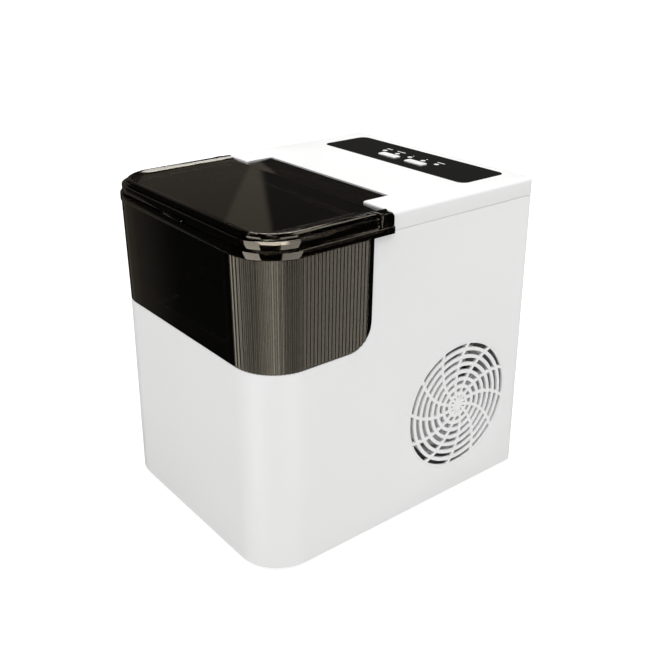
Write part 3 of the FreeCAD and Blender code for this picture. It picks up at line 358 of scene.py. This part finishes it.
def finish_cad_nodes():
    for row in frame["record"]["subparts"]:
        obj = frame["nodes"][row["node"]]
        obj.data.materials.clear()
        obj.data.materials.append(SLOT_MATERIALS[row["material_slot"]])
        smooth(obj, 35)


# ---------------------------------------------------------------- casing and cover
def window_cutter(back, z_low, corner):
    reach = HALF_D + 20
    profile = [(-reach, z_low)] + arc(back - corner, z_low + corner, corner, -90, 0, 16)
    profile += [(back, TOP_Z + 20), (-reach, TOP_Z + 20)]
    return prism("cut", profile, "x", -HALF_W - 20, HALF_W + 20)


def build_casing():
    outer = loft("casing", [body_ring(i, z, 28) for i, z in
                            ((0.7, FOOT_H), (0.2, FOOT_H + 0.2), (0.0, FOOT_H + 0.7), (0.0, SEAM_Z - 0.9),
                             (0.27, SEAM_Z - 0.27), (0.9, SEAM_Z))])
    inner = loft("cut", [body_ring(WALL, z, 28) for z in (FOOT_H - 1, SEAM_Z + 1)])
    cuts = [inner, window_cutter(WINDOW_BACK + 0.3, WINDOW_Z - 0.3, WINDOW_CORNER)]
    cuts.append(box("cut", -HALF_W - 1, HALF_W + 1, -HALF_D - 1, COVER_FRONT, RIM_Z0 - 0.2, SEAM_Z + 1))
    cuts.append(box("cut", -REAR_GAP_X, REAR_GAP_X, HALF_D - WALL - 1, HALF_D + 1, 16, 270))
    hole = [(FAN_Y + y, FAN_Z + z) for y, z in disc(GRILLE_R + 0.1, 96)]
    cuts.append(prism("cut", hole, "x", HALF_W - WALL - 1, HALF_W + 1))
    for k in range(SIDE_SLOTS):
        y = SIDE_SLOT_Y0 + SIDE_SLOT_PITCH * k
        slot = arc(y + 2, 128, 2, 0, 180, 8) + arc(y + 2, 62, 2, 180, 360, 8)
        cuts.append(prism("cut", slot, "x", -HALF_W - 1, -HALF_W + WALL + 1))
    cut(outer, *cuts)
    smooth(outer)
    return piece(outer, "main", [WHITE], ["outer_casing"])


def build_cover():
    r = 4.0
    steps = [(0.5, SEAM_Z + 0.05), (0.12, SEAM_Z + 0.2), (0.0, SEAM_Z + 0.55), (0.0, TOP_Z - r)]
    for k in range(1, 7):
        a = math.radians(15 * k)
        steps.append((r * (1 - math.cos(a)), TOP_Z - r + r * math.sin(a)))
    outer = loft("cover", [body_ring(i, z, 28) for i, z in steps])
    inner = loft("cut", [body_ring(WALL, z, 28) for z in (SEAM_Z - 1, TOP_Z - WALL)])
    front = box("cut", -HALF_W - 1, HALF_W + 1, -HALF_D - 1, COVER_FRONT, SEAM_Z - 2, TOP_Z + 1)
    edge = arc(COVER_FRONT + COVER_FRONT_ROUND, TOP_Z - COVER_FRONT_ROUND, COVER_FRONT_ROUND, 90, 180, 6)
    edge += [(COVER_FRONT - 1, TOP_Z - COVER_FRONT_ROUND), (COVER_FRONT - 1, TOP_Z + 1),
             (COVER_FRONT + COVER_FRONT_ROUND, TOP_Z + 1)]
    cut(outer, inner, front)
    wall = box("wall", -HALF_W + 1, HALF_W - 1, COVER_FRONT, COVER_FRONT + WALL, SEAM_Z + 0.3, TOP_Z - 1)
    pocket = box("pocket", -POCKET_X - 2, POCKET_X + 2, COVER_FRONT, POCKET_BACK + 2,
                 POCKET_FLOOR - 2, TOP_Z - 1)
    parts = [wall, pocket]
    for side in (-1, 1):
        x0, x1 = sorted((side * (POCKET_X - 0.1), side * KNUCKLE_X))
        parts.append(box("knuckle", x0, x1, COVER_FRONT, POCKET_BACK, SEAM_Z + 0.3, TOP_Z - 1))
    add(outer, *parts)
    cuts = [box("cut", -POCKET_X, POCKET_X, COVER_FRONT - 1, POCKET_BACK, POCKET_FLOOR, TOP_Z + 1),
            prism("cut", edge, "x", -HALF_W - 1, HALF_W + 1)]
    recess = outline(98.15, PANEL_LOW[1] - 0.15, PANEL_HIGH[1] + 0.15, 8, 8, TOP_Z - 1, 10)
    cuts.append(loft("cut", [recess, [(x, y, TOP_Z + 1) for x, y, z in recess]]))
    for x in BUTTON_XS:
        hole = [(x + u, BUTTON_Y + v) for u, v, w in outline(12.4, -4.9, 4.9, 1.6, 1.6, 0, 5)]
        cuts.append(prism("cut", hole, "z", TOP_Z - 4, TOP_Z + 1))
    for k in range(5):
        ring = [(LIGHT_X0 + LIGHT_PITCH * k + u, LIGHT_Y + v) for u, v in disc(2.65, 24)]
        cuts.append(prism("cut", ring, "z", TOP_Z - 4, TOP_Z + 1))
    for x0, x1 in ((84.0, 96.5), (-96.5, -84.0)):
        bore = [(HINGE_Y + u, HINGE_Z + v) for u, v in disc(PIN_R, 32)]
        cuts.append(prism("cut", bore, "x", x0, x1))
    cut(outer, *cuts)
    smooth(outer)
    return piece(outer, "main", [WHITE], ["top_cover"])


def build_print():
    """Plain printed dashes and dots beside the indicator lights."""
    marks = ((-41.7, -33.4, 118.6, 0.75), (-27.0, -15.0, 118.8, 0.75), (-2.6, -1.0, 117.0, 0.8),
             (15.6, 17.2, 117.6, 0.8), (30.0, 39.8, 118.0, 0.75))
    verts, faces = [], []
    for x0, x1, y, half in marks:
        ring = arc(x1 - half, y, half, -90, 90, 6) + arc(x0 + half, y, half, 90, 270, 6)
        n, start = len(ring), len(verts)
        verts += [(u, v, TOP_Z - 0.02) for u, v in ring] + [(u, v, TOP_Z + 0.05) for u, v in ring]
        faces += [tuple(start + n + i for i in range(n)), tuple(start + n - 1 - i for i in range(n))]
        faces += [(start + i, start + (i + 1) % n, start + n + (i + 1) % n, start + n + i) for i in range(n)]
    return piece(mesh_object("panel_print", verts, faces), "main", [PRINT])


# ---------------------------------------------------------------- fan grille
def build_grille():
    outer_slot, pitch, slot_w, rings, spokes = 60.3, 7.3, 4.0, 8, 12
    radii, slot_rows = [2.4], []
    for k in range(rings - 1, -1, -1):
        r1 = outer_slot - pitch * k
        radii.append(r1 - slot_w)
        slot_rows.append(len(radii) - 1)
        radii += [r1 - slot_w / 2, r1]
        slot_rows.append(len(radii) - 2)
    radii.append(GRILLE_R)
    cells = 7
    per = 2 + cells
    count = per * spokes

    def angle(r, index):
        sector, step = divmod(index, per)
        lean = math.asin(min(1.0, r / 116.0))
        centre = math.radians(112 + 30 * sector) - lean
        half = min(1.4 / (r * math.cos(lean)), math.radians(14.0))
        if step <= 2:
            return centre + half * (step - 1)
        return centre + half + (math.radians(30) - 2 * half) * (step - 2) / cells

    verts, top = [(HALF_W, FAN_Y, FAN_Z)], []
    for r in radii:
        for i in range(count):
            a = angle(r, i)
            verts.append((HALF_W, FAN_Y + r * math.cos(a), FAN_Z + r * math.sin(a)))
    faces = [(0, 1 + i, 1 + (i + 1) % count) for i in range(count)]
    for k in range(len(radii) - 1):
        for i in range(count):
            if k in slot_rows and i % per >= 2:
                continue
            a, b = 1 + k * count, 1 + (k + 1) * count
            j = (i + 1) % count
            faces.append((a + i, b + i, b + j, a + j))
    grille = mesh_object("grille", verts, faces)
    modifier = grille.modifiers.new("t", "SOLIDIFY")
    modifier.thickness = WALL * MM
    modifier.offset = -1
    apply_modifiers(grille)
    bevel(grille, 0.5, 3, 50)
    smooth(grille, 35)
    return piece(grille, "main", [WHITE_GRILLE], ["fan_grille"])


# ---------------------------------------------------------------- front window
FAR = 99.0                  # distance from the window's rear edge where the edge no longer matters
RIB_END = 4.6               # plain strip between the last rib and the rear edge
RIB_COUNT = 35
RIB_STEPS = 10
RIB_LOW = -0.3
RIB_TOP = 0.4


def wall_stations():
    """Points along the window's outer face: x, y, outward normal, distance to the rear edge."""
    corner_y = -HALF_D + R_FRONT
    side = HALF_W - R_FRONT
    stations = []
    for i in range(15):
        d = WINDOW_CORNER * (1 - math.cos(math.pi / 2 * i / 14))
        stations.append((-HALF_W, WINDOW_BACK - d, -1.0, 0.0, d))
    stations.append((-HALF_W, (WINDOW_BACK + corner_y) / 2 - 10, -1.0, 0.0, FAR))
    for i in range(29):
        a = math.radians(180 + 90 * i / 28)
        nx, ny = math.cos(a), math.sin(a)
        stations.append((-side + R_FRONT * nx, corner_y + R_FRONT * ny, nx, ny, FAR))
    for i in range(1, 12):
        stations.append((-side + 2 * side * i / 12, -HALF_D, 0.0, -1.0, FAR))
    return stations, side, corner_y


def window_columns():
    """Columns of the window wall: x, y, normal, distance to the rear edge, rib bulge, ribbed or not."""
    plain, side, corner_y = wall_stations()
    columns = [(*station, 0.0, 0) for station in plain]
    columns.append((side - 1.0, -HALF_D, 0.0, -1.0, FAR, 0.0, 0))
    corner_length = R_FRONT * math.pi / 2
    side_length = WINDOW_BACK - RIB_END - corner_y
    total = corner_length + side_length
    for k in range(RIB_COUNT * RIB_STEPS + 1):
        rib, step = divmod(k, RIB_STEPS)
        u = step / RIB_STEPS
        s = total * (rib + u) / RIB_COUNT
        bulge = RIB_LOW + (RIB_TOP - RIB_LOW) * (1 - math.cos(2 * math.pi * u)) / 2
        if s <= corner_length:
            a = -math.pi / 2 + s / R_FRONT
            x, y = side + R_FRONT * math.cos(a), corner_y + R_FRONT * math.sin(a)
            nx, ny, d = math.cos(a), math.sin(a), FAR
        else:
            x, y, nx, ny = HALF_W, corner_y + s - corner_length, 1.0, 0.0
            d = WINDOW_BACK - y
        columns.append((x, y, nx, ny, d, bulge, 1))
    for i in range(9):
        d = RIB_END * 0.95 * (math.cos(math.pi / 2 * i / 8))
        columns.append((HALF_W, WINDOW_BACK - d, 1.0, 0.0, d, 0.0, 0))
    return columns


def build_window():
    columns = window_columns()
    rows = 10
    verts, faces, index = [], [], []
    for x, y, nx, ny, d, bulge, ribbed in columns:
        base = WINDOW_Z
        if d < WINDOW_CORNER:
            base += WINDOW_CORNER - math.sqrt(max(0.0, WINDOW_CORNER ** 2 - (WINDOW_CORNER - d) ** 2))
        for k in range(rows + 1):
            z = base + (RIM_Z0 - base) * k / rows
            lean = WINDOW_FLARE * max(0.0, (z - WINDOW_Z) / (RIM_Z0 - WINDOW_Z))
            for out in (lean + bulge, lean - WALL):
                verts.append((x + nx * out, y + ny * out, z))
    span = 2 * (rows + 1)
    for c in range(len(columns) - 1):
        a, b = c * span, (c + 1) * span
        # faces between two ribbed columns take the second material, whose diffuse share paints in the light
        # refracted through the ribs
        rib = 1 if columns[c][6] and columns[c + 1][6] else 0
        for k in range(rows):
            faces.append((a + 2 * k, b + 2 * k, b + 2 * k + 2, a + 2 * k + 2))
            faces.append((a + 2 * k + 1, a + 2 * k + 3, b + 2 * k + 3, b + 2 * k + 1))
            index += [rib, rib]
        faces.append((a, a + 1, b + 1, b))
        faces.append((a + 2 * rows, b + 2 * rows, b + 2 * rows + 1, a + 2 * rows + 1))
        index += [rib, rib]
    for a in (0, (len(columns) - 1) * span):
        for k in range(rows):
            faces.append((a + 2 * k, a + 2 * k + 2, a + 2 * k + 3, a + 2 * k + 1))
            index.append(0)
    wall = mesh_object("window", verts, faces)
    for face, m in zip(wall.data.polygons, index):
        face.material_index = m
    fix_normals(wall)
    smooth(wall, 60)
    piece(wall, "main", [SMOKE, SMOKE_RIB_PAINTED_LIGHT], ["front_window"])


def build_rim():
    """Band round the top of the window that the lid rests on."""
    profile = [(RIM_OUT, RIM_Z0 + 0.6), (RIM_OUT, RIM_Z1 - 1.0), (2.87, RIM_Z1 - 0.5), (2.5, RIM_Z1 - 0.13),
               (2.0, RIM_Z1), (RIM_IN, RIM_Z1), (RIM_IN, RIM_Z0), (2.4, RIM_Z0), (2.82, RIM_Z0 + 0.18)]
    side, corner_y = HALF_W - R_FRONT, -HALF_D + R_FRONT
    stations = [(-HALF_W, RIM_BACK, -1.0, 0.0)]
    for cx, start in ((-side, 180), (side, 270)):
        for i in range(29):
            a = math.radians(start + 90 * i / 28)
            nx, ny = math.cos(a), math.sin(a)
            stations.append((cx + R_FRONT * nx, corner_y + R_FRONT * ny, nx, ny))
    stations.append((HALF_W, RIM_BACK, 1.0, 0.0))
    verts = []
    for x, y, nx, ny in stations:
        for out, z in profile:
            reach_y = (-RIM_Y - HALF_D) / RIM_OUT if out > 0 and ny else 1.0
            verts.append((x + nx * out, y + ny * out * reach_y, z))
    n = len(profile)
    faces = []
    for c in range(len(stations) - 1):
        for i in range(n):
            j = (i + 1) % n
            faces.append((c * n + i, c * n + j, (c + 1) * n + j, (c + 1) * n + i))
    faces.append(tuple(range(n)))
    faces.append(tuple(range(len(stations) * n - 1, (len(stations) - 1) * n - 1, -1)))
    rim = mesh_object("window_rim", verts, faces)
    fix_normals(rim)
    smooth(rim, 40)
    piece(rim, "main", [SMOKE])


# ---------------------------------------------------------------- lid
TIER_Z = 293.0
LID_FLAT = 294.5
TONGUE_Z0 = 284.4
TONGUE_Z1 = 295.9
TONGUE_Y1 = 5.8
TONGUE_EDGE = 1.8
FLAT_X = 100.6
FLAT_Y0 = -137.0
FLAT_Y1 = -26.0
FLAT_R = 19.0
LID_REAR = -22.4
LID_FRONT_FACE = -HALF_D - 0.5
LID_SIDE = HALF_W + 0.5
EAR_X = 113.5               # corner blocks at the lid's rear
EAR_FRONT = -36.0
EAR_TOPS = {1: 297.3, -1: 295.4}


def lid_ring(inset, z, n=24):
    return outline(LID_SIDE - inset, LID_FRONT_FACE + inset, LID_REAR, R_FRONT - inset, 3.0, z, n)


def build_lid():
    steps = [(0.5, LID_Z0), (0.15, LID_Z0 + 0.15), (0.0, LID_Z0 + 0.5), (0.0, TIER_Z - 0.3),
             (0.1, TIER_Z - 0.1), (0.3, TIER_Z), (3.6, TIER_Z), (4.0, TIER_Z + 0.3)]
    r = 3.4
    for k in range(0, 7):
        a = math.radians(15 * k)
        steps.append((4.0 + r * (1 - math.cos(a)), LID_Z - r + r * math.sin(a)))
    rings = [lid_ring(i, z) for i, z in steps]
    shell = loft("lid", rings)
    flat = [(FLAT_X, FLAT_Y0, FLAT_R, LID_FLAT), (107.0, LID_FRONT_FACE + 14.0, 25.0, LID_FLAT + 0.5),
            (112.3, LID_FRONT_FACE + 9.2, 30.0, 296.8),
            (113.6, LID_FRONT_FACE + 7.9, 31.0, LID_Z + 0.01), (115.0, LID_FRONT_FACE + 6.5, 32.0, LID_Z + 3)]
    recess = loft("cut", [outline(hx, y0, 40.0, rf, 4.0, z, 24) for hx, y0, rf, z in flat])
    cut(shell, recess)
    hollow = loft("cut", [outline(LID_SIDE - 4.0 - i, LID_FRONT_FACE + 4.0 + i, -29.0, 30.0, 4.0, z, 24)
                          for i, z in ((0.0, LID_Z0 - 2), (0.0, 289.0), (3.5, 291.6))])
    opening = loft("cut", [outline(FLAT_X, FLAT_Y0, FLAT_Y1, FLAT_R, FLAT_R, z, 24)
                           for z in (LID_Z0 - 3, LID_Z + 3)])
    cut(shell, hollow, opening)
    round_r = 1.6
    profile = [(-28.4, TONGUE_Z0), (TONGUE_Y1 - round_r, TONGUE_Z0)]
    profile += arc(TONGUE_Y1 - round_r, TONGUE_Z0 + round_r, round_r, -80, 0, 6)
    edge = TONGUE_EDGE
    profile += arc(TONGUE_Y1 - edge, TONGUE_Z1 - edge, edge, 0, 90, 8)
    profile += [(-25.0, LID_FLAT - 0.1), (-28.4, LID_FLAT - 0.1)]
    tongue = prism("tongue", profile, "x", -83.5, 83.5)
    ears = []
    for side in (-1, 1):
        top = EAR_TOPS[side]
        profile = [(EAR_FRONT, LID_Z0), (LID_REAR, LID_Z0)] + arc(LID_REAR - 5, top - 5, 5, 0, 90, 10)
        profile += arc(EAR_FRONT + 1.5, top - 1.5, 1.5, 90, 175, 5)
        x0, x1 = sorted((side * EAR_X, side * RIM_X))
        ears.append(bevel(prism("ear", profile, "x", x0, x1), 0.9, 3, 60))
    tab = box("tab", -15, 15, RIM_Y, LID_FRONT_FACE + 6, LID_Z0, LID_Z0 + 3)
    bevel(tab, 0.8, 3)
    add(shell, tongue, tab, *ears)
    for side in (-1, 1):
        x0, x1 = sorted((side * 77.0, side * 84.0))
        bore = [(HINGE_Y + u, HINGE_Z + v) for u, v in disc(PIN_R + 0.05, 32)]
        cut(shell, prism("cut", bore, "x", x0, x1))
    smooth(shell, 32)
    piece(shell, "lid", [SMOKE_LID], ["lid_frame"])
    gap = 0.15
    layers = ((0.3, LID_FLAT - 2.4), (0.0, LID_FLAT - 2.1), (0.0, LID_FLAT - 0.2), (0.2, LID_FLAT))
    rings = []
    for inset, z in layers:
        i = gap + inset
        rings.append(outline(FLAT_X - i, FLAT_Y0 + i, FLAT_Y1 - i, FLAT_R - i, FLAT_R - i, z, 24))
    plate = loft("lid_window", rings)
    fix_normals(plate)
    smooth(plate, 32)
    piece(plate, "lid", [SMOKE_LID], ["lid_panel"])


# ---------------------------------------------------------------- stage, light, camera
def build_stage():
    size = 6000
    floor = mesh_object("floor", [(-size, -size, 0), (size, -size, 0), (size, size, 0), (-size, size, 0)],
                        [(0, 1, 2, 3)])
    mat, nodes, links, shader = new_material("floor_white")
    coord = nodes.new("ShaderNodeTexCoord")
    grain = noise(nodes, links, coord, 3.0)
    tint = mixed(nodes, links, grain.outputs["Fac"], (0.30, 0.30, 0.30), (0.32, 0.32, 0.32))
    links.new(tint.outputs["Result"], shader.inputs["Base Color"])
    shader.inputs["Roughness"].default_value = 1.0
    shader.inputs["Specular IOR Level"].default_value = 0.0
    shader.inputs["Emission Color"].default_value = (1, 1, 1, 1)
    shader.inputs["Emission Strength"].default_value = 0.84
    floor.data.materials.append(mat)
    floor.visible_glossy = False
    floor.visible_transmission = False


def value(nodes, links, operation, *sources):
    node = nodes.new("ShaderNodeMath")
    node.operation = operation
    for socket, source in zip(node.inputs, sources):
        if isinstance(source, (int, float)):
            socket.default_value = source
        else:
            links.new(source, socket)
    return node.outputs[0]


def soft_edge(nodes, links, source, start, soft, falling):
    node = nodes.new("ShaderNodeMapRange")
    node.interpolation_type = "SMOOTHSTEP"
    low_value, high_value = (1.0, 0.0) if falling else (0.0, 1.0)
    for key, number in (("From Min", start - soft), ("From Max", start + soft),
                        ("To Min", low_value), ("To Max", high_value)):
        node.inputs[key].default_value = number
    links.new(source, node.inputs["Value"])
    return node.outputs[0]


# softboxes seen only in reflections: azimuth from +X towards +Y and elevation in degrees, the lean of
# each upright edge in degrees of azimuth per degree of elevation, strength, edge softness
SOFTBOXES = [
    (-101, -65, 0.0, 0.0, -45, 10, 5.5, 1.5),
    (-17, 28, 0.0, 0.0, -45, 10, 3.7, 1.5),
    (126, 156, 0.0, 0.0, 42, 58, 7.0, 0.7),
    (30, 75, 0.0, 0.0, 28, 56, 3.0, 4.0),
]
# the same for the brown room tones
WARM_CARDS = [
    (110, 148.0, 0.0, 0.155, 2, 32, 0.016, 0.35),
    (148.0, 190, 0.155, 0.0, 2, 32, 0.085, 0.35),
    (148.0, 139.2, 0.155, -0.51, 2, 32, 0.075, 0.25),
    (-177, -154.2, 0.0, 0.0, -45, 0, 0.13, 2.2),
]
WARM_TONE = (1.0, 0.88, 0.70)
GLOSSY_BASE = 0.02
DIFFUSE_SKY = 0.22


def softbox(nodes, links, azimuth, height, row):
    a0, a1, lean0, lean1, e0, e1, strength, soft = row
    left = value(nodes, links, "MULTIPLY_ADD", height, lean0, azimuth)
    right = value(nodes, links, "MULTIPLY_ADD", height, lean1, azimuth)
    across = value(nodes, links, "MULTIPLY", soft_edge(nodes, links, left, a0, soft, False),
                   soft_edge(nodes, links, right, a1, soft, True))
    up = value(nodes, links, "MULTIPLY", soft_edge(nodes, links, height, e0, soft, False),
               soft_edge(nodes, links, height, e1, soft, True))
    return value(nodes, links, "MULTIPLY", value(nodes, links, "MULTIPLY", across, up), strength)


def build_world():
    world = bpy.data.worlds.new("studio")
    SCENE.world = world
    world.use_nodes = True
    nodes, links = world.node_tree.nodes, world.node_tree.links
    background = nodes["Background"]
    coord = nodes.new("ShaderNodeTexCoord")
    split = nodes.new("ShaderNodeSeparateXYZ")
    links.new(coord.outputs["Generated"], split.inputs[0])
    azimuth = value(nodes, links, "ARCTAN2", split.outputs["Y"], split.outputs["X"])
    azimuth = value(nodes, links, "DEGREES", azimuth)
    height = value(nodes, links, "ARCSINE", split.outputs["Z"])
    height = value(nodes, links, "DEGREES", height)
    white, warm = GLOSSY_BASE, 0.0
    for row in SOFTBOXES:
        white = value(nodes, links, "ADD", softbox(nodes, links, azimuth, height, row), white)
    for row in WARM_CARDS:
        warm = value(nodes, links, "ADD", softbox(nodes, links, azimuth, height, row), warm)
    seen = nodes.new("ShaderNodeCombineColor")
    for socket, share in zip(seen.inputs, WARM_TONE):
        links.new(value(nodes, links, "MULTIPLY_ADD", warm, share, white), socket)
    path = nodes.new("ShaderNodeLightPath")
    level = mixed(nodes, links, path.outputs["Is Glossy Ray"], [DIFFUSE_SKY] * 3, [1.0] * 3)
    links.new(seen.outputs[0], level.inputs["B"])
    final = mixed(nodes, links, path.outputs["Is Camera Ray"], [1.0] * 3, [1.0] * 3)
    links.new(level.outputs["Result"], final.inputs["A"])
    links.new(final.outputs["Result"], background.inputs["Color"])


def sun(name, direction, strength, angle):
    data = bpy.data.lights.new(name, "SUN")
    data.energy = strength
    data.angle = math.radians(angle)
    light = bpy.data.objects.new(name, data)
    light.rotation_euler = Vector(direction).to_track_quat("Z", "Y").to_euler()
    light.visible_glossy = False
    COLLECTION.objects.link(light)


def build_camera():
    data = bpy.data.cameras.new("camera")
    data.lens = 50.594
    data.sensor_width = 36.0
    data.shift_y = -0.0798
    data.clip_start = 0.01
    camera = bpy.data.objects.new("camera", data)
    camera.location = (0.62278, -0.48808, 0.50751)
    camera.rotation_euler = (math.radians(90 - 20.929), 0, math.radians(51.771))
    COLLECTION.objects.link(camera)
    SCENE.camera = camera


finish_cad_nodes()
build_casing()
build_cover()
build_print()
build_grille()
build_window()
build_rim()
build_lid()
build_stage()
build_world()
sun("top_softbox", (0.12, -0.11, 1.0), 3.55, 60)
build_camera()
SCENE.view_settings.view_transform = "Standard"
